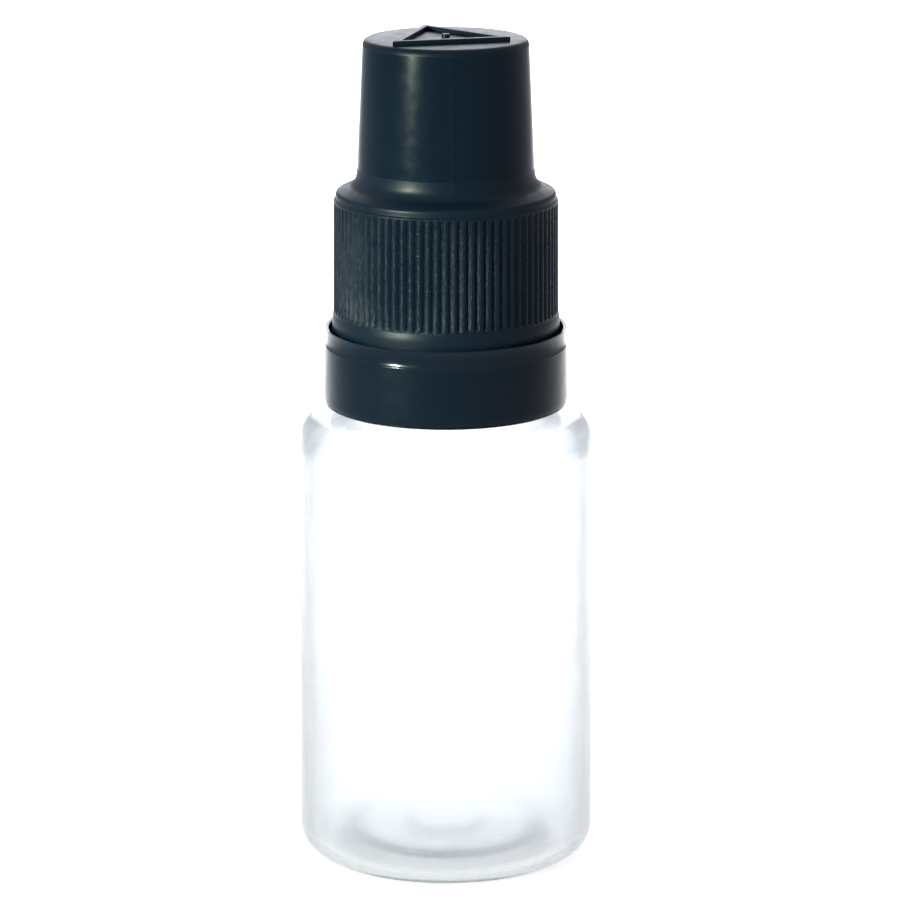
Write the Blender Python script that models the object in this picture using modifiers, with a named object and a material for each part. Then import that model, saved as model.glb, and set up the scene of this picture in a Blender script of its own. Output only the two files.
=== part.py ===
"""Dropper bottle with a push-and-turn cap, as separate solids on one upright axis.

The origin is the centre of the base and +Z is up. The design is written in millimetres
and MM turns it into metres. Every turned outline is a list of (radius, height) points
that runs down the outer side of its piece.
"""
import math

import bmesh
import bpy
from mathutils import Matrix

MM = 0.001
STEPS = 40              # facets round a full turn
SMALL_STEPS = 32        # the same on the nozzle and the spring ring

# Bottle: clear blown body with a foot ring, a shoulder and a threaded neck
BODY_R_LOW = 10.98
BODY_R_HIGH = 10.85
BODY_WALL = 0.65
BASE_CORNER_R = 1.7
FOOT_INNER_R = 7.9
PUSH_UP = 1.0
BASE_FLOOR = 0.75
SHOULDER_CORNER_R = 1.8
SHOULDER_Z = 33.5
NECK_ROOT_R = 6.2
NECK_ROOT_Z = 34.2
BEAD_R = 6.9
BEAD_Z = (36.35, 37.25)
NECK_R = 5.6
NECK_BORE_R = 4.6
NECK_TOP_Z = 46.15

# Screw thread, shared by the neck and the inner cap
LEAD = 3.0
NECK_THREAD_R = 0.65
NECK_THREAD_Z = 39.2
NECK_THREAD_TURNS = (0.0, 1.5)
CAP_THREAD_R = 0.55
CAP_THREAD_TURNS = (-0.3, 1.0)
CAP_THREAD_SHIFT = 1.5  # the cap's ridge runs midway between two turns of the neck's

# Dropper tip: plug, flange and nozzle
PLUG_R = 4.45
PLUG_BEAD_R = 4.52
PLUG_BORE_R = 3.6
PLUG_Z = 41.0
FLANGE_R = 5.5
FLANGE_Z = (46.45, 47.05)
NOZZLE_TOP_Z = 58.0
ORIFICE_R = 0.5

# Inner cap: threaded skirt, deck with drive lugs, and a chimney over the nozzle
INNER_R = 7.35
INNER_RIM_R = 7.0
INNER_BORE_R = 6.4
INNER_Z = 39.1
INNER_SHOULDER_Z = 40.2
DECK_Z = (47.35, 48.05)
CHIMNEY_R = (4.55, 4.3)
CHIMNEY_BORE_R = (3.7, 3.45)
CHIMNEY_Z = (58.8, 59.4)
PIN_R = 0.3
PIN_Z = 57.4

# Spring ring round the chimney
SPRING_R = (4.9, 5.4)
SPRING_Z = (48.35, 51.35)
SPRING_ROWS = 3
SPRING_SLOTS = 4
SLOT_HEIGHT = 0.45
SLOT_ANGLE = math.radians(64)

# Outer cap: tapered crown, sloped shoulder and grip skirt
CROWN_TOP_Z = 61.37
CROWN_R = (6.03, 6.5)
CROWN_EDGE_R = 0.35
CROWN_FOOT_Z = 51.6
CEILING_Z = 60.4
SHOULDER_R = (6.98, 7.95)
SHOULDER_HEIGHTS = (50.63, 50.18)
RIM_R = 8.06
RIM_Z = (50.05, 49.68)
SKIRT_R = (8.22, 8.28)
SKIRT_FLARE_R = 8.38
SKIRT_Z = 39.4
SKIRT_BORE_R = 7.55
SNAP_BEAD_R = 7.15
GRIP_RIBS = 80
GRIP_GROOVE_R = 8.03
GRIP_GROOVE_WIDTH = 0.3
GRIP_GROOVE_Z = (41.2, 49.45)
OUTER_DECK_Z = 49.6
SPRING_POCKET_R = 5.72
SPRING_LEDGE_Z = 51.65

# Drive lugs under the outer cap's deck and on the inner cap's deck
LUG_COUNT = 12
LUG_R = (5.9, 7.15)
LUG_WIDTH = 1.3
LUG_HEIGHT = 0.55

# Raised outline triangle on the crown
TRIANGLE_SIDE = 8.8
TRIANGLE_CENTER = (-0.25, -0.35)
TRIANGLE_BAR = 0.45
TRIANGLE_HEIGHT = 0.33
TRIANGLE_TURN = math.radians(15.5)
PIP_R = 0.3

# Tamper band on the neck's bead
BAND_R = (8.91, 8.98)
BAND_LIP_R = (8.62, 8.9)
BAND_STEP_R = 8.84
BAND_Z = 34.3
BAND_STEP_Z = 38.7
BAND_TOP_Z = 40.1
SHELF_Z = (37.55, 38.1)
SHELF_R = 6.5
PAWL_Z = (35.3, 36.1)

# Breakaway bridges between the band and the inner cap
BRIDGE_COUNT = 8
BRIDGE_R = 0.25
BRIDGE_RING_R = 6.75
BRIDGE_Z = (38.35, 38.85)


def clear_scene():
    for obj in list(bpy.data.objects):
        bpy.data.objects.remove(obj)


def make_collection(name):
    collection = bpy.data.collections.new(name)
    bpy.context.scene.collection.children.link(collection)
    return collection


def make_material(name, color, roughness, alpha=1.0):
    material = bpy.data.materials.new(name)
    material.use_nodes = True
    shader = material.node_tree.nodes["Principled BSDF"]
    shader.inputs["Base Color"].default_value = (*color, 1.0)
    shader.inputs["Roughness"].default_value = roughness
    shader.inputs["Metallic"].default_value = 0.0
    shader.inputs["Alpha"].default_value = alpha
    return material


def arc(center, radius, start, end, count):
    """Points of an arc in the (radius, height) plane, with angles in degrees."""
    points = []
    for i in range(count + 1):
        angle = math.radians(start + (end - start) * i / count)
        points.append((center[0] + radius * math.cos(angle),
                       center[1] + radius * math.sin(angle)))
    return points


def turn(name, outline, base_z, closed=False, steps=STEPS):
    """Turn an outline round Z. The object's origin is on the axis at base_z."""
    bm = bmesh.new()
    verts = [bm.verts.new((r * MM, 0.0, (z - base_z) * MM)) for r, z in outline]
    for a, b in zip(verts, verts[1:]):
        bm.edges.new((a, b))
    if closed:
        bm.edges.new((verts[-1], verts[0]))
    mesh = bpy.data.meshes.new(name)
    bm.to_mesh(mesh)
    bm.free()
    obj = bpy.data.objects.new(name, mesh)
    obj.location.z = base_z * MM
    screw = obj.modifiers.new("Turn", "SCREW")
    screw.steps = steps
    screw.render_steps = steps
    screw.use_merge_vertices = True
    screw.merge_threshold = 0.00001
    screw.use_smooth_shade = True
    return obj


def helix_tube(name, radius, tube_r, start_z, turns):
    """A round ridge along the thread's helix, thinner at both ends."""
    curve = bpy.data.curves.new(name, "CURVE")
    curve.dimensions = "3D"
    curve.bevel_depth = tube_r * MM
    curve.bevel_resolution = 2
    curve.use_fill_caps = True
    count = round((turns[1] - turns[0]) * 24)
    spline = curve.splines.new("POLY")
    spline.points.add(count)
    for i, point in enumerate(spline.points):
        turn_now = turns[0] + (turns[1] - turns[0]) * i / count
        angle = 2 * math.pi * turn_now
        point.co = (radius * MM * math.cos(angle), radius * MM * math.sin(angle),
                    (start_z + LEAD * turn_now) * MM, 1.0)
        point.radius = min(1.0, 0.35 + 0.22 * min(i, count - i))
    tube = bpy.data.objects.new(name, curve)
    bpy.context.scene.collection.objects.link(tube)
    depsgraph = bpy.context.evaluated_depsgraph_get()
    mesh = bpy.data.meshes.new_from_object(tube.evaluated_get(depsgraph))
    bpy.data.objects.remove(tube)
    bm = bmesh.new()
    bm.from_mesh(mesh)
    bmesh.ops.remove_doubles(bm, verts=bm.verts, dist=0.000001)
    bm.to_mesh(mesh)
    bm.free()
    return bpy.data.objects.new(name, mesh)


def prism(name, sides, radius, z_low, z_high, turn_angle=0.0):
    """An upright prism, round or many-sided, centred on the axis."""
    bm = bmesh.new()
    bmesh.ops.create_cone(bm, cap_ends=True, segments=sides, radius1=radius * MM,
                          radius2=radius * MM, depth=(z_high - z_low) * MM)
    mesh = bpy.data.meshes.new(name)
    bm.to_mesh(mesh)
    bm.free()
    obj = bpy.data.objects.new(name, mesh)
    obj.location.z = (z_low + z_high) / 2 * MM
    obj.rotation_euler.z = turn_angle
    return obj


def ring_of_boxes(name, count, radii, width, z_low, z_high, first_angle):
    """Equal boxes set round the axis, each pointing outwards."""
    bm = bmesh.new()
    size = ((radii[1] - radii[0]) * MM, width * MM, (z_high - z_low) * MM)
    middle = ((radii[0] + radii[1]) / 2 * MM, 0.0, (z_low + z_high) / 2 * MM)
    for i in range(count):
        angle = first_angle + 2 * math.pi * i / count
        place = Matrix.Rotation(angle, 4, "Z") @ Matrix.Translation(middle)
        bmesh.ops.create_cube(bm, size=1.0, matrix=place @ Matrix.Diagonal((*size, 1.0)))
    mesh = bpy.data.meshes.new(name)
    bm.to_mesh(mesh)
    bm.free()
    return bpy.data.objects.new(name, mesh)


def add_boolean(obj, other, operation, cutters):
    """Cut or join obj with a helper that stays in the cutters collection."""
    if other.name not in cutters.objects:
        cutters.objects.link(other)
        other.hide_render = True
        other.display_type = "WIRE"
    boolean = obj.modifiers.new(other.name, "BOOLEAN")
    boolean.operation = operation
    boolean.solver = "EXACT"
    boolean.object = other


def finish(obj, collection, material, parent=None):
    """Link a piece, give it its material, and hang it on its parent where it stands."""
    collection.objects.link(obj)
    obj.data.materials.append(material)
    if parent is not None:
        obj.parent = parent
        obj.location.z -= sum(p.location.z for p in parent_chain(obj))
    return obj


def parent_chain(obj):
    chain = []
    while obj.parent is not None:
        obj = obj.parent
        chain.append(obj)
    return chain


def make_axis(name, z, collection, parent=None):
    """An empty on the bottle's axis that a moving body hangs on."""
    empty = bpy.data.objects.new(name, None)
    empty.empty_display_size = 0.004
    empty.location.z = z * MM
    collection.objects.link(empty)
    if parent is not None:
        empty.parent = parent
        empty.location.z -= sum(p.location.z for p in parent_chain(empty))
    return empty


def build_bottle(cutters):
    inner_low = BODY_R_LOW - BODY_WALL
    inner_high = BODY_R_HIGH - BODY_WALL
    floor_z = PUSH_UP + BASE_FLOOR
    base_inner_r = BASE_CORNER_R - BODY_WALL
    top_inner_r = SHOULDER_CORNER_R - BODY_WALL
    outline = [(0.0, floor_z), (3.2, floor_z), (6.7, floor_z - 0.2), (7.5, 0.95), (8.1, BODY_WALL)]
    outline += arc((inner_low - base_inner_r, BODY_WALL + base_inner_r), base_inner_r, -90, 0, 4)
    outline += arc((inner_high - top_inner_r, SHOULDER_Z - SHOULDER_CORNER_R),
                   top_inner_r, 0, 80, 4)
    outline += [(6.4, 33.45), (5.2, 33.9), (NECK_BORE_R, 34.7),
                (NECK_BORE_R, NECK_TOP_Z - 0.15), (NECK_BORE_R + 0.15, NECK_TOP_Z),
                (NECK_R - 0.15, NECK_TOP_Z), (NECK_R, NECK_TOP_Z - 0.15),
                (NECK_R, BEAD_Z[1] + 0.35), (BEAD_R - 0.35, BEAD_Z[1]),
                (BEAD_R, BEAD_Z[1] - 0.3), (BEAD_R, BEAD_Z[0]), (NECK_ROOT_R, BEAD_Z[0]),
                (NECK_ROOT_R, NECK_ROOT_Z + 0.4), (NECK_ROOT_R + 0.35, NECK_ROOT_Z)]
    outline += arc((BODY_R_HIGH - SHOULDER_CORNER_R, SHOULDER_Z - SHOULDER_CORNER_R),
                   SHOULDER_CORNER_R, 84, 0, 6)
    outline += arc((BODY_R_LOW - BASE_CORNER_R, BASE_CORNER_R), BASE_CORNER_R, 0, -90, 6)
    outline += [(FOOT_INNER_R, 0.0), (7.3, 0.25), (6.8, 0.8), (2.7, PUSH_UP), (2.4, PUSH_UP - 0.25),
                (0.0, PUSH_UP - 0.25)]
    bottle = turn("bottle", outline, 0.0)
    thread = helix_tube("neck_thread", NECK_R, NECK_THREAD_R, NECK_THREAD_Z, NECK_THREAD_TURNS)
    add_boolean(bottle, thread, "UNION", cutters)
    return bottle


def build_dropper_tip():
    outline = [(ORIFICE_R + 0.1, NOZZLE_TOP_Z), (1.15, NOZZLE_TOP_Z), (1.35, NOZZLE_TOP_Z - 0.25),
               (1.4, 57.0), (1.55, 56.0), (1.9, 54.0), (2.75, 49.2), (3.1, 48.0), (3.3, FLANGE_Z[1]),
               (FLANGE_R - 0.1, FLANGE_Z[1]), (FLANGE_R, FLANGE_Z[1] - 0.1),
               (FLANGE_R, FLANGE_Z[0]), (PLUG_R, FLANGE_Z[0])]
    for bead_z in (45.3, 42.9):
        outline += [(PLUG_R, bead_z + 0.3), (PLUG_BEAD_R, bead_z), (PLUG_R, bead_z - 0.3)]
    outline += [(PLUG_R, PLUG_Z + 0.6), (PLUG_R - 0.3, PLUG_Z), (PLUG_BORE_R, PLUG_Z),
                (PLUG_BORE_R, 45.9), (2.3, 48.3), (1.0, 55.6), (ORIFICE_R, 56.8),
                (ORIFICE_R, NOZZLE_TOP_Z - 0.1)]
    return turn("dropper_tip", outline, PLUG_Z, closed=True, steps=SMALL_STEPS)


def build_inner_cap(cutters):
    outline = [(0.0, CHIMNEY_Z[1]), (CHIMNEY_R[1] - 0.3, CHIMNEY_Z[1]),
               (CHIMNEY_R[1], CHIMNEY_Z[1] - 0.3), (CHIMNEY_R[0], DECK_Z[1] + 0.2),
               (CHIMNEY_R[0] + 0.2, DECK_Z[1]), (INNER_R - 0.2, DECK_Z[1]),
               (INNER_R, DECK_Z[1] - 0.2), (INNER_R, INNER_SHOULDER_Z),
               (INNER_RIM_R, INNER_SHOULDER_Z), (INNER_RIM_R, INNER_Z),
               (INNER_BORE_R + 0.1, INNER_Z), (INNER_BORE_R, INNER_Z + 0.1),
               (INNER_BORE_R, DECK_Z[0] - 0.2), (INNER_BORE_R - 0.2, DECK_Z[0]),
               (CHIMNEY_BORE_R[0] + 0.15, DECK_Z[0]), (CHIMNEY_BORE_R[0], DECK_Z[0] + 0.3),
               (CHIMNEY_BORE_R[1], CHIMNEY_Z[0]), (PIN_R, CHIMNEY_Z[0]),
               (PIN_R, PIN_Z + 0.15), (PIN_R - 0.12, PIN_Z), (0.0, PIN_Z)]
    inner_cap = turn("inner_cap", outline, INNER_Z)
    thread = helix_tube("cap_thread", INNER_BORE_R, CAP_THREAD_R,
                        NECK_THREAD_Z + CAP_THREAD_SHIFT, CAP_THREAD_TURNS)
    lugs = ring_of_boxes("inner_lugs", LUG_COUNT, (LUG_R[0], LUG_R[1] - 0.1), LUG_WIDTH,
                         DECK_Z[1] - 0.2, DECK_Z[1] + LUG_HEIGHT, 0.0)
    add_boolean(inner_cap, thread, "UNION", cutters)
    add_boolean(inner_cap, lugs, "UNION", cutters)
    return inner_cap


def build_spring_ring(cutters):
    outline = [(SPRING_R[0], SPRING_Z[1]), (SPRING_R[1], SPRING_Z[1]),
               (SPRING_R[1], SPRING_Z[0]), (SPRING_R[0], SPRING_Z[0])]
    ring = turn("spring_ring", outline, SPRING_Z[0], closed=True, steps=SMALL_STEPS)
    slot_width = 2 * SPRING_R[1] * math.sin(SLOT_ANGLE / 2)
    row_pitch = (SPRING_Z[1] - SPRING_Z[0]) / (SPRING_ROWS + 0.2)
    for row in range(SPRING_ROWS):
        z = SPRING_Z[0] + row_pitch * (row + 0.6)
        slots = ring_of_boxes(f"slot_row_{row + 1}", SPRING_SLOTS, (3.4, SPRING_R[1] + 0.6),
                              slot_width, z - SLOT_HEIGHT / 2, z + SLOT_HEIGHT / 2,
                              math.pi / SPRING_SLOTS * (row % 2))
        add_boolean(ring, slots, "DIFFERENCE", cutters)
    return ring


def build_outer_cap(cutters):
    outline = [(0.0, CROWN_TOP_Z)]
    outline += arc((CROWN_R[0] - CROWN_EDGE_R, CROWN_TOP_Z - CROWN_EDGE_R), CROWN_EDGE_R, 90, 0, 3)
    outline += [(CROWN_R[1], CROWN_FOOT_Z), (CROWN_R[1] + 0.07, 51.1), (6.7, 50.83),
                (SHOULDER_R[0], SHOULDER_HEIGHTS[0]), (SHOULDER_R[1], SHOULDER_HEIGHTS[1]),
                (RIM_R, RIM_Z[0]), (RIM_R, RIM_Z[1]), (SKIRT_R[0], RIM_Z[1] - 0.2),
                (SKIRT_R[1], 41.35), (SKIRT_FLARE_R, 40.85), (SKIRT_FLARE_R, SKIRT_Z + 0.12),
                (SKIRT_FLARE_R - 0.12, SKIRT_Z), (SNAP_BEAD_R + 0.12, SKIRT_Z),
                (SNAP_BEAD_R, SKIRT_Z + 0.12), (SNAP_BEAD_R, SKIRT_Z + 0.35),
                (SKIRT_BORE_R, SKIRT_Z + 0.5), (SKIRT_BORE_R, OUTER_DECK_Z - 0.25),
                (SKIRT_BORE_R - 0.25, OUTER_DECK_Z), (SPRING_POCKET_R, OUTER_DECK_Z),
                (SPRING_POCKET_R, SPRING_LEDGE_Z), (5.2, SPRING_LEDGE_Z),
                (4.95, CEILING_Z - 0.3), (4.65, CEILING_Z), (0.0, CEILING_Z)]
    outer_cap = turn("outer_cap", outline, SKIRT_Z)
    lugs = ring_of_boxes("outer_lugs", LUG_COUNT, LUG_R, LUG_WIDTH,
                         OUTER_DECK_Z - LUG_HEIGHT, OUTER_DECK_Z + 0.2, math.pi / LUG_COUNT)
    grooves = ring_of_boxes("grip_grooves", GRIP_RIBS, (GRIP_GROOVE_R, SKIRT_FLARE_R + 0.4),
                            GRIP_GROOVE_WIDTH, *GRIP_GROOVE_Z, math.pi / GRIP_RIBS)
    add_boolean(outer_cap, lugs, "UNION", cutters)
    add_boolean(outer_cap, grooves, "DIFFERENCE", cutters)

    corner_r = TRIANGLE_SIDE / math.sqrt(3)
    inside_r = corner_r - 2 * TRIANGLE_BAR
    top = CROWN_TOP_Z + TRIANGLE_HEIGHT
    triangle = prism("triangle", 3, corner_r, CROWN_TOP_Z - 0.3, top, TRIANGLE_TURN)
    inside = prism("triangle_inside", 3, inside_r, CROWN_TOP_Z - 0.6, top + 0.3, TRIANGLE_TURN)
    for side in (triangle, inside):
        side.location.x = TRIANGLE_CENTER[0] * MM
        side.location.y = TRIANGLE_CENTER[1] * MM
    pip = prism("pip", 12, PIP_R, CROWN_TOP_Z - 0.3, top)
    add_boolean(triangle, inside, "DIFFERENCE", cutters)
    add_boolean(outer_cap, triangle, "UNION", cutters)
    add_boolean(outer_cap, pip, "UNION", cutters)
    return outer_cap


def build_tamper_band():
    outline = [(BAND_LIP_R[1], BAND_TOP_Z - 0.08), (BAND_STEP_R, BAND_STEP_Z),
               (BAND_R[0], BAND_STEP_Z - 0.1), (BAND_R[1], BAND_Z + 0.12),
               (BAND_R[1] - 0.12, BAND_Z), (8.1, BAND_Z), (8.1, SHELF_Z[0] - 0.1),
               (7.6, SHELF_Z[0] - 0.1), (7.6, PAWL_Z[0] + 0.1), (7.5, PAWL_Z[0]),
               (7.1, PAWL_Z[0]), (SHELF_R, PAWL_Z[1] - 0.25), (SHELF_R, PAWL_Z[1]),
               (7.1, PAWL_Z[1]), (7.1, SHELF_Z[0]), (SHELF_R, SHELF_Z[0]), (SHELF_R, SHELF_Z[1]),
               (BAND_LIP_R[0], SHELF_Z[1]), (BAND_LIP_R[0], BAND_TOP_Z - 0.08),
               (BAND_LIP_R[0] + 0.08, BAND_TOP_Z), (BAND_LIP_R[1] - 0.08, BAND_TOP_Z)]
    return turn("tamper_band", outline, BAND_Z, closed=True)


def build_bridge(number):
    angle = 2 * math.pi * (number - 0.5) / BRIDGE_COUNT
    bridge = prism(f"breakaway_bridge_{number}", 12, BRIDGE_R, BRIDGE_Z[0], BRIDGE_Z[1])
    bridge.location.x = BRIDGE_RING_R * MM * math.cos(angle)
    bridge.location.y = BRIDGE_RING_R * MM * math.sin(angle)
    return bridge


def main():
    clear_scene()
    parts = make_collection("dropper_bottle")
    cutters = make_collection("cutters")
    clear_pet = make_material("clear_pet", (0.92, 0.95, 0.97), 0.05, alpha=0.3)
    natural = make_material("natural_polyethylene", (0.82, 0.84, 0.83), 0.4)
    acetal = make_material("natural_acetal", (0.86, 0.85, 0.80), 0.35)
    cap_black = make_material("cap_black", (0.010, 0.017, 0.026), 0.3)
    inner_black = make_material("inner_black", (0.014, 0.020, 0.028), 0.4)
    band_black = make_material("band_black", (0.009, 0.015, 0.023), 0.35)

    finish(build_bottle(cutters), parts, clear_pet)
    finish(build_dropper_tip(), parts, natural)

    turn_axis = make_axis("cap_turn_axis", BAND_Z, parts)
    rise_axis = make_axis("cap_rise_axis", INNER_Z, parts, turn_axis)
    push_axis = make_axis("cap_push_axis", SPRING_Z[0], parts, rise_axis)
    spin_axis = make_axis("outer_cap_spin_axis", SKIRT_Z, parts, push_axis)
    finish(build_tamper_band(), parts, band_black, turn_axis)
    finish(build_inner_cap(cutters), parts, inner_black, rise_axis)
    for number in range(1, BRIDGE_COUNT + 1):
        finish(build_bridge(number), parts, inner_black, rise_axis)
    finish(build_spring_ring(cutters), parts, acetal, push_axis)
    finish(build_outer_cap(cutters), parts, cap_black, spin_axis)


main()
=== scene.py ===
import math

import bpy
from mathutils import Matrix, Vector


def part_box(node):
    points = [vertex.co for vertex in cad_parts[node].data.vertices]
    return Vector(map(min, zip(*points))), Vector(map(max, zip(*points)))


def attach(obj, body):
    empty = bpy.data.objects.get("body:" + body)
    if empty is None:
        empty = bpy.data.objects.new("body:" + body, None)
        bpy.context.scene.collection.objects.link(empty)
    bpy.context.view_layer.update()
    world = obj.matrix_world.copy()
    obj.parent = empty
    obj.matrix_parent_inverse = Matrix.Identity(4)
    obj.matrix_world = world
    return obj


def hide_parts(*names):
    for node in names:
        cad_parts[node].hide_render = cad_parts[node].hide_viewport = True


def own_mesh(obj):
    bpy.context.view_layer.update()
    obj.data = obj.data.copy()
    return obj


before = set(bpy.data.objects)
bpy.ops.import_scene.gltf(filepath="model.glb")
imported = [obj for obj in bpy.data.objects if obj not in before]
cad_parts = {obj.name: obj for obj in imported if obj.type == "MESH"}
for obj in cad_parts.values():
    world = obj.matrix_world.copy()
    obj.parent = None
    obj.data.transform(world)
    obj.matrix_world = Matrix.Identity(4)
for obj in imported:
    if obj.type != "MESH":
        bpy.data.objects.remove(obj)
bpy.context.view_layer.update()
mm = 0.001  # outlines and sizes below are in mm, places in the set are in metres
print("frame loaded:", len(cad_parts), "solids")


def deselectAll():
    # back to object mode with nothing selected
    if bpy.context.object and bpy.context.object.mode != "OBJECT":
        bpy.ops.object.mode_set(mode="OBJECT")
    bpy.ops.object.select_all(action="DESELECT")


def makeActive(piece):
    deselectAll()
    piece.select_set(True)
    bpy.context.view_layer.objects.active = piece


def settle(piece):
    # the piece's place and turn go into its mesh, and its object sits at the origin
    makeActive(piece)
    bpy.ops.object.transform_apply(location=True, rotation=True, scale=True)


def editAll():
    # edit mode with every point selected
    bpy.ops.object.mode_set(mode="EDIT")
    bpy.ops.mesh.select_mode(type="VERT")
    bpy.ops.mesh.select_all(action="SELECT")


def facesOutwards():
    # leaves edit mode with every face of the mesh turned outwards
    bpy.ops.mesh.select_all(action="SELECT")
    bpy.ops.mesh.normals_make_consistent(inside=False)
    bpy.ops.object.mode_set(mode="OBJECT")


def swellPoints(piece, test, times):
    # the points that pass the test move out from the axis so many times, or in where that is below 1
    makeActive(piece)
    bpy.ops.object.mode_set(mode="EDIT")
    bpy.ops.mesh.select_mode(type="VERT")
    bpy.ops.mesh.select_all(action="DESELECT")
    bpy.ops.object.mode_set(mode="OBJECT")
    for point in piece.data.vertices:
        point.select = bool(test(point.co))
    bpy.ops.object.mode_set(mode="EDIT")
    bpy.ops.transform.resize(value=(times, times, 1), center_override=(0, 0, 0))
    bpy.ops.object.mode_set(mode="OBJECT")


def softenEdges(piece, width):
    soften = piece.modifiers.new("Soften", "BEVEL")
    soften.width = width * mm
    soften.segments = 2
    bpy.ops.object.modifier_apply(modifier=soften.name)


def arcPoints(centreR, centreZ, radius, fromAngle, toAngle, steps):
    # a round corner of an outline, angles in degrees
    arc = []
    for k in range(steps + 1):
        a = math.radians(fromAngle + (toAngle - fromAngle) * k / steps)
        arc.append((centreR + radius * math.cos(a), centreZ + radius * math.sin(a)))
    return arc


def roundedOutline(outline):
    # an outline point may carry a third number, the size of its rounded corner
    steps = 4
    points = []
    for i, (r, z, *rounding) in enumerate(outline):
        if not rounding:
            points.append((r, z))
            continue
        ends = []
        for other in (outline[i - 1], outline[(i + 1) % len(outline)]):
            dr, dz = other[0] - r, other[1] - z
            length = math.hypot(dr, dz)
            reach = min(rounding[0], length * 0.5) / length
            ends.append((r + dr * reach, z + dz * reach))
        for k in range(steps + 1):
            t = k / steps
            a, b, c = (1 - t) ** 2, 2 * t * (1 - t), t * t
            points.append((a * ends[0][0] + b * r + c * ends[1][0],
                           a * ends[0][1] + b * z + c * ends[1][1]))
    return points


def turnShell(name, outline, foot, columns, closed=False):
    # a circle is extruded and scaled ring by ring along the outline, in mm above the foot
    sameRadius, weldDistance = 1e-9, 0.002 * mm
    points = roundedOutline(outline)
    if closed:
        points.append(points[0])
    deselectAll()
    r, z = points[0]
    bpy.ops.mesh.primitive_circle_add(vertices=columns, radius=r * mm, location=(0, 0, foot + z * mm))
    piece = bpy.context.object
    piece.name = name
    settle(piece)
    editAll()
    for nextR, nextZ in points[1:]:
        bpy.ops.mesh.extrude_region_move(TRANSFORM_OT_translate={"value": (0, 0, (nextZ - z) * mm)})
        if abs(nextR - r) > sameRadius:
            k = nextR / r
            bpy.ops.transform.resize(value=(k, k, 1), center_override=(0, 0, foot + nextZ * mm))
        r, z = nextR, nextZ
    bpy.ops.mesh.select_all(action="SELECT")
    if closed:
        bpy.ops.mesh.remove_doubles(threshold=weldDistance)
    else:
        bpy.ops.mesh.fill_holes(sides=0)
    facesOutwards()
    return piece


def smoothShade(piece, degrees):
    makeActive(piece)
    bpy.ops.object.shade_smooth_by_angle(angle=math.radians(degrees))


def combine(piece, other, operation):
    # the other piece is welded on by UNION or taken out by DIFFERENCE, and is then gone
    makeActive(piece)
    step = piece.modifiers.new("Combine", "BOOLEAN")
    step.operation = operation
    step.solver = "EXACT"
    step.object = other
    bpy.ops.object.modifier_apply(modifier=step.name)
    bpy.data.objects.remove(other)


def helixRidge(name, thread):
    # a small circle swept up round the axis by a Screw modifier, with closed ends
    roundSides, stepsPerTurn, weldDistance = 16, 96, 0.001 * mm
    firstTurn, lastTurn = thread["turns"]
    deselectAll()
    bpy.ops.mesh.primitive_circle_add(vertices=roundSides, radius=thread["ridge"] * mm,
                                      location=(thread["radius"] * mm, 0, thread["start"] * mm),
                                      rotation=(math.pi / 2, 0, 0))
    ridge = bpy.context.object
    ridge.name = name
    settle(ridge)
    screw = ridge.modifiers.new("Thread", "SCREW")
    screw.angle = 2 * math.pi * (lastTurn - firstTurn)
    screw.screw_offset = thread["lead"] * (lastTurn - firstTurn) * mm
    screw.steps = screw.render_steps = round(stepsPerTurn * (lastTurn - firstTurn))
    screw.merge_threshold = weldDistance
    bpy.ops.object.modifier_apply(modifier=screw.name)
    editAll()
    bpy.ops.mesh.fill_holes(sides=0)
    facesOutwards()
    ridge.rotation_euler.z = 2 * math.pi * firstTurn
    ridge.location.z = thread["lead"] * firstTurn * mm
    settle(ridge)
    return ridge


cameraSetup = {
    "place": (0.0003, -0.29147, 0.10544), "tilt": 14.404,  # metres, and degrees downwards
    "lens": 162.14, "nearest": 0.01,
}

deselectAll()
bpy.ops.object.camera_add(location=cameraSetup["place"],
                          rotation=(math.radians(90 - cameraSetup["tilt"]), 0, 0))
camera = bpy.context.object
camera.name = "studioCamera"
camera.data.lens = cameraSetup["lens"]
camera.data.clip_start = cameraSetup["nearest"]
bpy.context.scene.camera = camera
bpy.context.scene.view_settings.view_transform = "Standard"

studio = {
    "floorSize": 4.0, "floorColor": (0.93, 0.94, 0.95), "floorRough": (0.55, 0.65), "floorGrain": 40,
    "worldColor": (0.92, 0.96, 1.0), "worldStrength": 0.55,
}

paintedLightPad = {  # a painted pool of light: a glowing ellipse painted into the floor's emission, mostly behind the object, with a soft edge
    "place": (0, 0.28, 0), "size": (0.21, 0.48, 1),
    "edge": (1.0, 0.15),  # the glow begins at the first share of the ellipse and is full at the second
    "depth": (0.02, 0.12), "glow": (1.35, 2.1),  # glow at the nearer and at the further depth
}

lamps = {  # size in metres, power in watts, spread in degrees
    "backPanel": {"place": (0, 0.62, 0.24), "aim": (0, 0, 0.05), "size": (0.36, 0.32), "power": 0.98,
                  "color": (0.90, 0.92, 1.0), "spread": 180},
    "leftLamp": {"place": (-0.43, -0.385, 0.155), "aim": (0, 0, 0.037), "size": (0.05, 0.05), "power": 0.021,
                 "color": (0.88, 1.0, 0.82), "spread": 7},
}

world = bpy.data.worlds.new("paleRoom")
bpy.context.scene.world = world
world.use_nodes = True
background = world.node_tree.nodes["Background"]
background.inputs["Color"].default_value = (*studio["worldColor"], 1)
background.inputs["Strength"].default_value = studio["worldStrength"]

bpy.ops.mesh.primitive_plane_add(size=studio["floorSize"], location=(0, 0, 0))
floor = bpy.context.object
floor.name = "floor"

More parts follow.
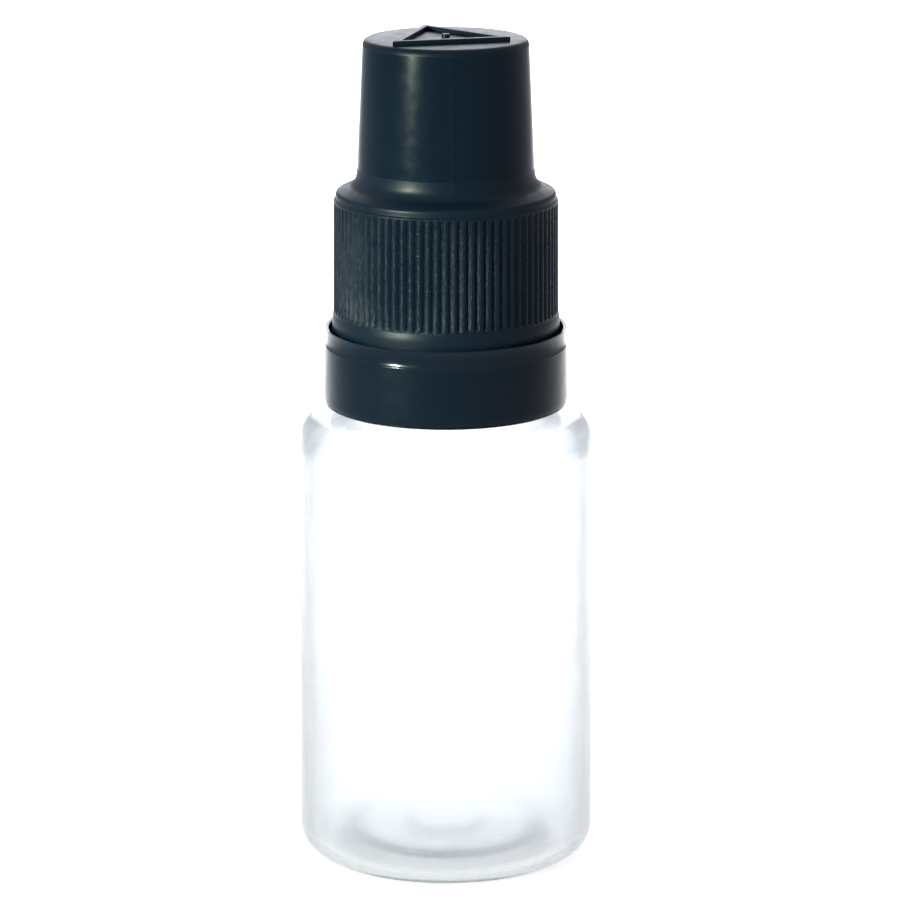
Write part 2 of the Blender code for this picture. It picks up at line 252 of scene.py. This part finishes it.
for name, lamp in lamps.items():
    # each area lamp faces a point of the set
    deselectAll()
    bpy.ops.object.light_add(type="AREA", location=lamp["place"])
    box = bpy.context.object
    box.name = name
    box.data.shape = "RECTANGLE"
    box.data.size, box.data.size_y = lamp["size"]
    box.data.energy = lamp["power"]
    box.data.color = lamp["color"]
    box.data.spread = math.radians(lamp["spread"])
    dx, dy, dz = (end - start for start, end in zip(lamp["place"], lamp["aim"]))
    box.rotation_euler = (math.acos(-dz / math.sqrt(dx * dx + dy * dy + dz * dz)), 0,
                          math.atan2(-dx, dy))
print("camera, floor and lamps are set")


def newMaterial(name, color):
    material = bpy.data.materials.new(name)
    material.use_nodes = True
    shader = material.node_tree.nodes["Principled BSDF"]
    shader.inputs["Base Color"].default_value = (*color, 1)
    return material, shader


def addNode(material, kind, **settings):
    node = material.node_tree.nodes.new(kind)
    for key, value in settings.items():
        if hasattr(node, key):
            setattr(node, key, value)
        else:
            node.inputs[key].default_value = value
    return node


def wire(material, fromSocket, toSocket):
    material.node_tree.links.new(fromSocket, toSocket)


def noiseOn(material, scale, detail, stretch=(1, 1, 1)):
    # noise on the object's own coordinates, scale in marks per metre
    where = addNode(material, "ShaderNodeTexCoord")
    mapping = addNode(material, "ShaderNodeMapping")
    mapping.inputs["Scale"].default_value = stretch
    noise = addNode(material, "ShaderNodeTexNoise")
    noise.inputs["Scale"].default_value = scale
    noise.inputs["Detail"].default_value = detail
    wire(material, where.outputs["Object"], mapping.inputs["Vector"])
    wire(material, mapping.outputs["Vector"], noise.inputs["Vector"])
    return noise.outputs["Fac"]


def rampOf(material, source, fromRange, toRange, curve="LINEAR"):
    ramp = addNode(material, "ShaderNodeMapRange", interpolation_type=curve)
    ramp.inputs["From Min"].default_value, ramp.inputs["From Max"].default_value = fromRange
    ramp.inputs["To Min"].default_value, ramp.inputs["To Max"].default_value = toRange
    wire(material, source, ramp.inputs["Value"])
    return ramp.outputs["Result"]


def roughnessFrom(material, shader, noise, roughRange):
    # roughness wanders between two values with the middle part of a noise
    wire(material, rampOf(material, noise, (0.3, 0.7), roughRange), shader.inputs["Roughness"])


def bumpOn(material, shader, layers):
    # layers of (noise output, height in metres), one bump after another
    normal = None
    for source, height in layers:
        bump = addNode(material, "ShaderNodeBump")
        bump.inputs["Strength"].default_value = 1.0
        bump.inputs["Distance"].default_value = height
        wire(material, source, bump.inputs["Height"])
        if normal:
            wire(material, normal, bump.inputs["Normal"])
        normal = bump.outputs["Normal"]
    wire(material, normal, shader.inputs["Normal"])


def colorVary(material, shader, noise, colorA, colorB):
    mix = addNode(material, "ShaderNodeMix", data_type="RGBA")
    mix.inputs["A"].default_value = (*colorA, 1)
    mix.inputs["B"].default_value = (*colorB, 1)
    wire(material, noise, mix.inputs["Factor"])
    wire(material, mix.outputs["Result"], shader.inputs["Base Color"])


floorPaint, shader = newMaterial("floorPaint", studio["floorColor"])
shader.inputs["Emission Color"].default_value = (1, 1, 1, 1)
roughnessFrom(floorPaint, shader, noiseOn(floorPaint, studio["floorGrain"], 3.0), studio["floorRough"])
# painted light: the floor glows in an ellipse mostly behind the object, brighter further back, though the floor is
# no lamp
where = addNode(floorPaint, "ShaderNodeTexCoord")
padSpace = addNode(floorPaint, "ShaderNodeMapping", vector_type="TEXTURE")
padSpace.inputs["Location"].default_value = paintedLightPad["place"]
padSpace.inputs["Scale"].default_value = paintedLightPad["size"]
reach = addNode(floorPaint, "ShaderNodeVectorMath", operation="LENGTH")
depth = addNode(floorPaint, "ShaderNodeSeparateXYZ")
glow = addNode(floorPaint, "ShaderNodeMath", operation="MULTIPLY")
wire(floorPaint, where.outputs["Object"], padSpace.inputs["Vector"])
wire(floorPaint, padSpace.outputs["Vector"], reach.inputs[0])
wire(floorPaint, where.outputs["Object"], depth.inputs["Vector"])
wire(floorPaint, rampOf(floorPaint, reach.outputs["Value"], paintedLightPad["edge"], (0, 1), "SMOOTHSTEP"), glow.inputs[0])
wire(floorPaint, rampOf(floorPaint, depth.outputs["Y"], paintedLightPad["depth"], paintedLightPad["glow"], "SMOOTHSTEP"),
     glow.inputs[1])
wire(floorPaint, glow.outputs["Value"], shader.inputs["Emission Strength"])
floor.data.materials.append(floorPaint)

clearPlastic = {  # clear blown plastic, faintly hazy
    "color": (0.985, 0.992, 1.0), "bend": 1.5, "rough": (0.23, 0.265), "haze": 500,
    "waves": {"scale": 160, "stretch": (1, 1, 0.4), "height": 0.06},  # slow waves in the wall
    "drawMarks": {"scale": 1400, "stretch": (1, 1, 0.05), "height": 0.003},  # fine marks that run up the body
    "tint": (0.86, 0.885, 0.90), "depth": 380.0,  # what is left of the light as it goes through the wall
}

clearBottle, shader = newMaterial("clearBottle", clearPlastic["color"])
shader.inputs["Transmission Weight"].default_value = 1.0
shader.inputs["IOR"].default_value = clearPlastic["bend"]
bumpOn(clearBottle, shader, [
    (noiseOn(clearBottle, layer["scale"], 2.0, layer["stretch"]), layer["height"] * mm)
    for layer in (clearPlastic["waves"], clearPlastic["drawMarks"])])
absorb = addNode(clearBottle, "ShaderNodeVolumeAbsorption")
absorb.inputs["Color"].default_value = (*clearPlastic["tint"], 1)
absorb.inputs["Density"].default_value = clearPlastic["depth"]
wire(clearBottle, absorb.outputs["Volume"], clearBottle.node_tree.nodes["Material Output"].inputs["Volume"])
roughnessFrom(clearBottle, shader, noiseOn(clearBottle, clearPlastic["haze"], 4.0), clearPlastic["rough"])


def blackPlastic(name, finish):
    # dark moulded plastic: fine grain and slow sink waves, all in bump, with roughness that wanders
    patchScale, tintScale, lighten = 900, 350, 1.25
    material, shader = newMaterial(name, finish["color"])
    shader.inputs["Specular IOR Level"].default_value = finish["specular"]
    bumpOn(material, shader, [
        (noiseOn(material, layer["scale"], 2.0), layer["height"] * mm)
        for layer in (finish["waves"], finish["grain"])])
    roughnessFrom(material, shader, noiseOn(material, patchScale, 4.0), finish["rough"])
    lighter = tuple(channel * lighten for channel in finish["color"])
    colorVary(material, shader, noiseOn(material, tintScale, 3.0), finish["color"], lighter)
    return material


# heights of grain and waves in mm
capColor = (0.0012, 0.0066, 0.0138)
capGloss = blackPlastic("capGloss", {
    "color": capColor, "rough": (0.17, 0.24), "specular": 0.13,
    "grain": {"scale": 9000, "height": 0.002}, "waves": {"scale": 260, "height": 0.04}})
capSatin = blackPlastic("capSatin", {
    "color": capColor, "rough": (0.34, 0.42), "specular": 0.16,
    "grain": {"scale": 9000, "height": 0.004}, "waves": {"scale": 260, "height": 0.03}})
capGrip = blackPlastic("capGrip", {
    "color": capColor, "rough": (0.24, 0.32), "specular": 0.13,
    "grain": {"scale": 9500, "height": 0.06}, "waves": {"scale": 500, "height": 0.02}})

bandColor = (0.0006, 0.0048, 0.0108)
bandGloss = blackPlastic("bandGloss", {
    "color": bandColor, "rough": (0.14, 0.20), "specular": 0.26,
    "grain": {"scale": 9000, "height": 0.002}, "waves": {"scale": 260, "height": 0.03}})
bandSatin = blackPlastic("bandSatin", {
    "color": bandColor, "rough": (0.21, 0.26), "specular": 0.18,
    "grain": {"scale": 8000, "height": 0.012}, "waves": {"scale": 300, "height": 0.03}})

innerBlack = blackPlastic("innerBlack", {
    "color": (0.010, 0.013, 0.017), "rough": (0.35, 0.50), "specular": 0.45,
    "grain": {"scale": 7000, "height": 0.006}, "waves": {"scale": 400, "height": 0.04}})


milkyPlastic = {
    "soak": (0.0012, 0.0011, 0.0010),  # how far light spreads inside, in metres
    "clouds": {"scale": 350, "stretch": (1, 1, 0.5), "height": 0.03}, "grain": {"scale": 7000, "height": 0.003},
}


def naturalPlastic(name, finish):
    # milky natural plastic: light soaks in, with cloudy flow marks
    clouds, grain = milkyPlastic["clouds"], milkyPlastic["grain"]
    material, shader = newMaterial(name, finish["color"])
    shader.inputs["Subsurface Weight"].default_value = finish["milk"]
    shader.inputs["Subsurface Radius"].default_value = milkyPlastic["soak"]
    shader.inputs["Subsurface Scale"].default_value = 1.0
    cloudNoise = noiseOn(material, clouds["scale"], 4.0, clouds["stretch"])
    grainNoise = noiseOn(material, grain["scale"], 2.0)
    colorVary(material, shader, cloudNoise, finish["color"], finish["cloudColor"])
    bumpOn(material, shader, [(cloudNoise, clouds["height"] * mm), (grainNoise, grain["height"] * mm)])
    roughnessFrom(material, shader, cloudNoise, finish["rough"])
    return material


naturalTip = naturalPlastic("naturalTip", {
    "color": (0.80, 0.83, 0.83), "cloudColor": (0.72, 0.75, 0.75), "milk": 0.6, "rough": (0.28, 0.42)})
naturalSpring = naturalPlastic("naturalSpring", {
    "color": (0.84, 0.82, 0.76), "cloudColor": (0.76, 0.74, 0.68), "milk": 0.4, "rough": (0.30, 0.40)})
print("materials are made")


def lugRing(name, lugs):
    # one block is made and spun round the axis as separate copies
    softWidth, copies = 0.08, lugs["count"] - 1
    inner, outer = lugs["inner"] * mm, lugs["outer"] * mm
    low, high = lugs["low"] * mm, lugs["high"] * mm
    deselectAll()
    bpy.ops.mesh.primitive_cube_add(size=1, location=((inner + outer) / 2, 0, (low + high) / 2),
                                    scale=(outer - inner, lugs["width"] * mm, high - low))
    ring = bpy.context.object
    ring.name = name
    settle(ring)
    softenEdges(ring, softWidth)
    editAll()
    bpy.ops.mesh.spin(steps=copies, angle=2 * math.pi * copies / lugs["count"], center=(0, 0, 0),
                      axis=(0, 0, 1), dupli=True)
    facesOutwards()
    ring.rotation_euler.z = math.radians(lugs["firstAngle"])
    settle(ring)
    return ring


bottleShape = {
    "columns": 192, "smooth": 32, "wall": 0.65,
    "floorInside": [(0.25, 1.75), (3.2, 1.75), (6.5, 1.55, 0.4), (7.5, 0.95, 0.4), (8.4, 0.65, 0.5)],
    "floorOutside": [(7.9, 0.0, 0.25), (7.3, 0.25, 0.3), (6.8, 0.8, 0.25), (2.75, 1.0, 0.1), (2.4, 0.75, 0.12),
                     (0.25, 0.75)],
    "lowRadius": 10.98, "highRadius": 10.85,
    "body": [(10.95, 9.0), (10.91, 18.0), (10.86, 26.0)],  # the wall's outside draws in a little with height
    "baseCorner": {"outside": 1.7, "inside": 1.05},
    "shoulderCorner": {"outside": 1.8, "outsideZ": 31.7, "inside": 2.4, "insideZ": 30.45},
    "neck": [(6.4, 33.35, 0.8), (5.0, 33.75, 0.7), (4.6, 34.9, 0.5), (4.6, 46.15, 0.12), (5.6, 46.15, 0.15),
             (5.6, 37.6, 0.15), (6.55, 37.25, 0.15), (6.9, 36.95, 0.12), (6.9, 36.35, 0.1), (6.2, 36.35, 0.1),
             (6.2, 34.3, 0.6), (7.6, 33.85, 0.8)],
    "thread": {"radius": 5.6, "ridge": 0.65, "start": 39.2, "lead": 3.0, "turns": (0.0, 1.5)},
}


def bottleOutline():
    # up the inside, over the neck, down the outside and back under the floor
    wall, base, shoulder = (bottleShape[key] for key in ("wall", "baseCorner", "shoulderCorner"))
    lowIn, highIn = bottleShape["lowRadius"] - wall, bottleShape["highRadius"] - wall
    line = list(bottleShape["floorInside"])
    line += arcPoints(lowIn - base["inside"], wall + base["inside"], base["inside"], -90, 0, 8)
    line += [(r - wall, z) for r, z in bottleShape["body"]]
    line += arcPoints(highIn - shoulder["inside"], shoulder["insideZ"], shoulder["inside"], 0, 86, 8)
    line += bottleShape["neck"]
    line += arcPoints(bottleShape["highRadius"] - shoulder["outside"], shoulder["outsideZ"], shoulder["outside"],
                      82, 0, 12)
    line += reversed(bottleShape["body"])
    line += arcPoints(bottleShape["lowRadius"] - base["outside"], base["outside"], base["outside"], 0, -90, 12)
    return line + bottleShape["floorOutside"]


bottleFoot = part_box("bottle")[0][2]
bottle = turnShell("bottleShell", bottleOutline(), bottleFoot, bottleShape["columns"])
combine(bottle, helixRidge("neckThread", bottleShape["thread"]), "UNION")
smoothShade(bottle, bottleShape["smooth"])
bottle.data.materials.append(clearBottle)
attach(bottle, "bottle")
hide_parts("bottle")
print("bottle is made")


capShape = {
    "ribs": 80, "perRib": 6, "ribDepth": 0.2, "gripRadius": 8.25, "smooth": 32,
    "valley": {1: 0.12, 2: 0.55, 3: 1.0, 4: 0.55, 5: 0.12},  # share of the depth on the columns between two crests
    "outline": [(0.25, 21.97), (6.03, 21.97, 0.5), (6.5, 12.2, 0.6), (6.62, 11.6, 0.45), (6.95, 11.24, 0.25),
                (7.97, 10.77, 0.12), (8.06, 10.6, 0.1), (8.06, 10.24, 0.04), (8.2, 10.16, 0.03),
                (8.21, 10.06), (8.22, 9.9), (8.24, 7.2), (8.26, 4.6), (8.28, 2.1), (8.285, 1.9),
                (8.31, 1.75, 0.1), (8.38, 1.35, 0.2), (8.38, 0.0, 0.12), (7.15, 0.0, 0.1), (7.15, 0.4, 0.1),
                (7.55, 0.55, 0.1), (7.55, 10.2, 0.25), (5.72, 10.2, 0.1), (5.72, 12.25, 0.1), (5.2, 12.25, 0.1),
                (4.95, 21.0, 0.3), (0.25, 21.0)],
    # parts of the outside: lowest and highest above the foot, and the radius that they lie beyond
    "ribZone": (2.0, 10.0, 8.0), "seamZone": (12.1, 21.6, 5.8),
    "gripZone": (1.8, 10.1, 7.9), "crownZone": (12.4, 21.4, 5.9),
    "seam": {"angle": -85.4, "width": 0.8, "height": 0.025, "radius": 6.2},  # the mould's parting line
    "lugs": {"inner": 5.9, "outer": 7.3, "width": 1.3, "low": 49.05, "high": 49.8, "count": 12, "firstAngle": 15},
}

markShape = {
    "top": 21.97, "side": 8.8, "bar": 0.45, "height": 0.33, "sunk": 0.1, "soft": 0.05,
    "place": (-0.25, -0.35), "turn": 15.5,
    "pip": {"radius": 0.3, "depth": 0.5, "middle": 0.05},
}

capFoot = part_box("outer_cap")[0][2]
capColumns = capShape["ribs"] * capShape["perRib"]
outerCap = turnShell("outerCapShell", capShape["outline"], capFoot, capColumns)


def inZone(co, zone):
    low, high, beyond = zone
    return capFoot + low * mm < co.z < capFoot + high * mm and math.hypot(co.x, co.y) > beyond * mm


for offset, share in capShape["valley"].items():
    # the columns between two rib crests are pulled in towards the axis
    def inValley(co):
        column = round(math.atan2(co.y, co.x) / (2 * math.pi / capColumns))
        return inZone(co, capShape["ribZone"]) and column % capShape["perRib"] == offset

    swellPoints(outerCap, inValley, 1 - share * capShape["ribDepth"] / capShape["gripRadius"])

seam = capShape["seam"]
for angle in (seam["angle"], seam["angle"] + 180):
    def onSeam(co):
        turn = (math.degrees(math.atan2(co.y, co.x)) - angle + 180) % 360 - 180
        return abs(turn) < seam["width"] and inZone(co, capShape["seamZone"])

    swellPoints(outerCap, onSeam, 1 + seam["height"] / seam["radius"])


def markTriangle():
    # a raised outline triangle on the crown: a three-sided prism with its inside cut away
    top, height, sunk = (markShape[key] * mm for key in ("top", "height", "sunk"))
    across, along = (step * mm for step in markShape["place"])
    deselectAll()
    bpy.ops.mesh.primitive_cylinder_add(vertices=3, radius=markShape["side"] / math.sqrt(3) * mm,
                                        depth=height + 2 * sunk,
                                        location=(across, along, capFoot + top + height / 2 - sunk),
                                        rotation=(0, 0, math.radians(markShape["turn"])))
    mark = bpy.context.object
    mark.name = "topMark"
    settle(mark)
    bpy.ops.object.mode_set(mode="EDIT")
    bpy.ops.mesh.select_mode(type="FACE")
    bpy.ops.mesh.select_all(action="DESELECT")
    bpy.ops.object.mode_set(mode="OBJECT")
    for face in mark.data.polygons:
        face.select = abs(face.normal.z) > 0.9  # the prism's two flat ends
    bpy.ops.object.mode_set(mode="EDIT")
    bpy.ops.mesh.inset(thickness=markShape["bar"] * mm, depth=0)
    bpy.ops.mesh.bridge_edge_loops()
    facesOutwards()
    softenEdges(mark, markShape["soft"])
    return mark


def centrePip():
    # the gate's small round pip, on the axis
    pipShape = markShape["pip"]
    deselectAll()
    bpy.ops.mesh.primitive_cylinder_add(
        vertices=32, radius=pipShape["radius"] * mm, depth=pipShape["depth"] * mm,
        location=(0, 0, capFoot + (markShape["top"] + pipShape["middle"]) * mm))
    pip = bpy.context.object
    pip.name = "topPip"
    settle(pip)
    softenEdges(pip, markShape["soft"])
    return pip


for part in (markTriangle(), centrePip(), lugRing("outerLugs", capShape["lugs"])):
    combine(outerCap, part, "UNION")
smoothShade(outerCap, capShape["smooth"])
for material in (capSatin, capGrip, capGloss):
    outerCap.data.materials.append(material)
for face in outerCap.data.polygons:
    if inZone(face.center, capShape["gripZone"]):
        face.material_index = 1
    elif inZone(face.center, capShape["crownZone"]):
        face.material_index = 2
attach(outerCap, "outer")
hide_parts("outer_cap")
print("outer cap is made")


bandShape = {
    "columns": 192, "smooth": 28, "glossAbove": 4.4,
    "outline": [(8.9, 5.8, 0.08), (8.84, 5.45, 0.2), (8.83, 4.9), (8.85, 4.7), (8.88, 4.55), (8.93, 4.45, 0.03),
                (8.93, 4.38, 0.03), (8.99, 0.3, 0.3), (8.85, 0.0, 0.15), (8.1, 0.0, 0.1), (8.1, 3.15, 0.2),
                (7.6, 3.15, 0.1), (7.6, 1.0, 0.1), (7.1, 1.0, 0.1), (6.5, 1.55, 0.08), (6.5, 1.8, 0.05),
                (7.1, 1.8, 0.05), (7.1, 3.25, 0.1), (6.5, 3.25, 0.1), (6.5, 3.8, 0.1), (8.62, 3.8, 0.12),
                (8.62, 5.72, 0.08)],
}

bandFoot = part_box("tamper_band")[0][2]
band = turnShell("tamperRing", bandShape["outline"], bandFoot, bandShape["columns"], closed=True)
smoothShade(band, bandShape["smooth"])
band.data.materials.append(bandSatin)
band.data.materials.append(bandGloss)
for face in band.data.polygons:
    face.material_index = 1 if face.center.z > bandFoot + bandShape["glossAbove"] * mm else 0
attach(band, "band")
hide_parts("tamper_band")
print("tamper band is made")


tipShape = {
    "columns": 96, "smooth": 35,
    "outline": [(0.6, 17.0), (1.2, 17.0, 0.15), (1.38, 16.6, 0.2), (1.42, 16.0), (1.58, 15.0, 0.5), (2.75, 8.2, 0.5),
                (3.1, 7.0, 0.4), (3.3, 6.05, 0.15), (5.5, 6.05, 0.12), (5.5, 5.45, 0.1), (4.45, 5.45, 0.08),
                (4.45, 4.6), (4.52, 4.3, 0.15), (4.45, 4.0), (4.45, 2.2), (4.52, 1.9, 0.15), (4.45, 1.6),
                (4.45, 0.6), (4.15, 0.0, 0.1), (3.6, 0.0, 0.1), (3.6, 4.9, 0.4), (2.3, 7.3, 0.4), (1.0, 14.6, 0.4),
                (0.5, 15.8, 0.2), (0.5, 16.9)],
}

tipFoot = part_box("dropper_tip")[0][2]
tip = turnShell("dropperInsert", tipShape["outline"], tipFoot, tipShape["columns"], closed=True)
smoothShade(tip, tipShape["smooth"])
tip.data.materials.append(naturalTip)
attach(tip, "bottle")
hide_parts("dropper_tip")
print("dropper tip is made")


innerShape = {
    "columns": 144, "smooth": 35,
    "outline": [(0.25, 20.3), (4.3, 20.3, 0.3), (4.55, 9.25), (4.8, 8.95, 0.2), (7.35, 8.95, 0.2), (7.35, 1.1, 0.1),
                (7.0, 1.1, 0.1), (7.0, 0.0, 0.08), (6.4, 0.0, 0.1), (6.4, 8.25, 0.25), (3.7, 8.25, 0.3),
                (3.45, 19.7, 0.15), (0.3, 19.7, 0.1), (0.3, 18.3, 0.12), (0.1, 18.3)],
    "thread": {"radius": 6.4, "ridge": 0.55, "start": 40.7, "lead": 3.0, "turns": (-0.3, 1.0)},
    "lugs": {"inner": 5.9, "outer": 7.05, "width": 1.3, "low": 47.85, "high": 48.6, "count": 12, "firstAngle": 0},
}

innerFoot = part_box("inner_cap")[0][2]
innerCap = turnShell("innerCapShell", innerShape["outline"], innerFoot, innerShape["columns"])
combine(innerCap, helixRidge("innerThread", innerShape["thread"]), "UNION")
combine(innerCap, lugRing("innerLugs", innerShape["lugs"]), "UNION")
smoothShade(innerCap, innerShape["smooth"])
innerCap.data.materials.append(innerBlack)
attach(innerCap, "inner")
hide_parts("inner_cap")
print("inner cap is made")


springShape = {
    "columns": 96, "smooth": 35, "height": 3.0, "pressed": 0.85,
    "rows": 3, "firstRow": 0.6, "endSpace": 0.2,  # the first row's middle and the space left over, in rows
    "slots": {"inner": 3.4, "outer": 6.0, "width": 5.72, "count": 4}, "slotHeight": 0.45,
    "outline": [(5.4, 3.0, 0.08), (5.4, 0.0, 0.08), (4.9, 0.0, 0.08), (4.9, 3.0, 0.08)],
}

springFoot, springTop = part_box("spring_ring")[0][2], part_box("spring_ring")[1][2]
spring = turnShell("springSleeve", springShape["outline"], springFoot, springShape["columns"], closed=True)
rowHeight = springShape["height"] / (springShape["rows"] + springShape["endSpace"])
for row in range(springShape["rows"]):
    # the slots of one row stand over the webs of the row below
    middle = springFoot / mm + rowHeight * (row + springShape["firstRow"])
    slots = dict(springShape["slots"], firstAngle=45 * (row % 2), low=middle - springShape["slotHeight"] / 2,
                 high=middle + springShape["slotHeight"] / 2)
    combine(spring, lugRing("slots", slots), "DIFFERENCE")
smoothShade(spring, springShape["smooth"])
spring.data.materials.append(naturalSpring)
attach(spring, "spring")
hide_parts("spring_ring")
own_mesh(spring)
print("spring sleeve is made")


bridgeShape = {
    "columns": 24, "smooth": 35, "count": 8, "ringRadius": 6.75,
    "outline": [(0.05, 0.8), (0.24, 0.8), (0.25, 0.7, 0.05), (0.2, 0.25), (0.14, 0.0), (0.04, 0.0)],
}

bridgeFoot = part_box("breakaway_bridge_1")[0][2]
firstBridge = turnShell("bridge1", bridgeShape["outline"], bridgeFoot, bridgeShape["columns"])
bridges = [firstBridge]
for number in range(2, bridgeShape["count"] + 1):
    bridge = firstBridge.copy()
    bridge.data = firstBridge.data.copy()
    bridge.name = f"bridge{number}"
    bpy.context.collection.objects.link(bridge)
    bridges.append(bridge)
for number, bridge in enumerate(bridges, 1):
    turn = 2 * math.pi * (number - 0.5) / bridgeShape["count"]
    bridge.location = (bridgeShape["ringRadius"] * mm * math.cos(turn),
                       bridgeShape["ringRadius"] * mm * math.sin(turn), 0)
    settle(bridge)
    smoothShade(bridge, bridgeShape["smooth"])
    bridge.data.materials.append(innerBlack)
    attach(bridge, "inner")
    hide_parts(f"breakaway_bridge_{number}")
print("bridges are made")
